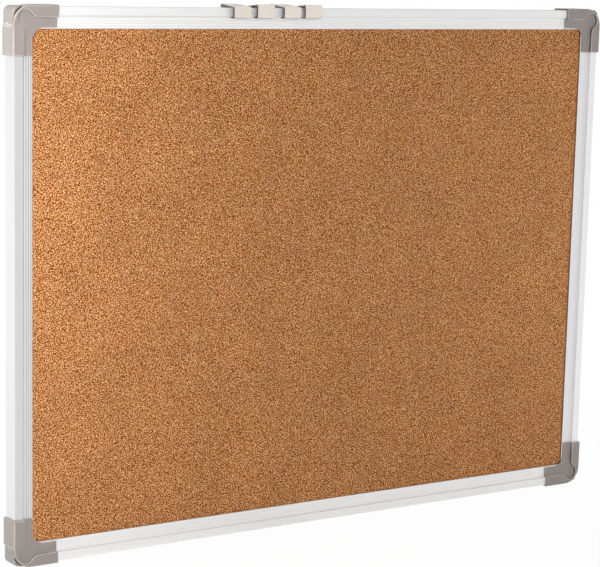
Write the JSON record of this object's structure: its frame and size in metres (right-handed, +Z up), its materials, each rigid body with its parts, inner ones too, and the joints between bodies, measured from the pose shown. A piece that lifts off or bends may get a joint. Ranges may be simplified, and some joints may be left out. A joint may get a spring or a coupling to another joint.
{
  "type": "framed cork pin board",
  "caption": "Rectangular cork pin board in a stepped hollow aluminium frame, with moulded corner caps and spring hanger clips that slide along the top rail.",
  "frame": {"origin": "middle of the panel's rear face, on the backing paper", "axes": "+X to the right along the board's width, +Y backwards to the wall, +Z up"},
  "size_m": [0.6, 0.0223, 0.4516],
  "materials": {
    "cork": "fine agglomerated cork, matte, unsealed",
    "fibreboard": "raw pressed fibreboard",
    "liner": "matte backing paper",
    "rail": "extruded, satin silver anodised",
    "cap": "injection-moulded warm grey, satin",
    "key": "injection-moulded black",
    "screw": "zinc plated",
    "clip": "bright nickel plate on spring steel"
  },
  "bodies": {
    "board": {"cork_sheet": "cork", "fibreboard_core": "fibreboard", "back_liner": "liner", "rail_top": "rail", "rail_bottom": "rail", "rail_left": "rail", "rail_right": "rail", "corner_cap_top_left": "cap", "corner_cap_top_right": "cap", "corner_cap_bottom_left": "cap", "corner_cap_bottom_right": "cap", "corner_key_top_left": "key", "corner_key_top_right": "key", "corner_key_bottom_left": "key", "corner_key_bottom_right": "key", "cap_screw_top_left_1": "screw", "cap_screw_top_left_2": "screw", "cap_screw_top_right_1": "screw", "cap_screw_top_right_2": "screw", "cap_screw_bottom_left_1": "screw", "cap_screw_bottom_left_2": "screw", "cap_screw_bottom_right_1": "screw", "cap_screw_bottom_right_2": "screw"},
    "clip_1": {"hanger_clip_1": "clip"},
    "clip_2": {"hanger_clip_2": "clip"},
    "clip_3": {"hanger_clip_3": "clip"},
    "clip_4": {"hanger_clip_4": "clip"}
  },
  "joints": [
    {"name": "clip_1_slide", "type": "slide", "parent": "board", "child": "clip_1", "axis": [1, 0, 0], "range_m": [-0.158, 0.0028]},
    {"name": "clip_2_slide", "type": "slide", "parent": "board", "child": "clip_2", "axis": [1, 0, 0], "range_m": [-0.0028, 0.0046]},
    {"name": "clip_3_slide", "type": "slide", "parent": "board", "child": "clip_3", "axis": [1, 0, 0], "range_m": [-0.0046, 0.0019]},
    {"name": "clip_4_slide", "type": "slide", "parent": "board", "child": "clip_4", "axis": [1, 0, 0], "range_m": [-0.0019, 0.274]}
  ]
}
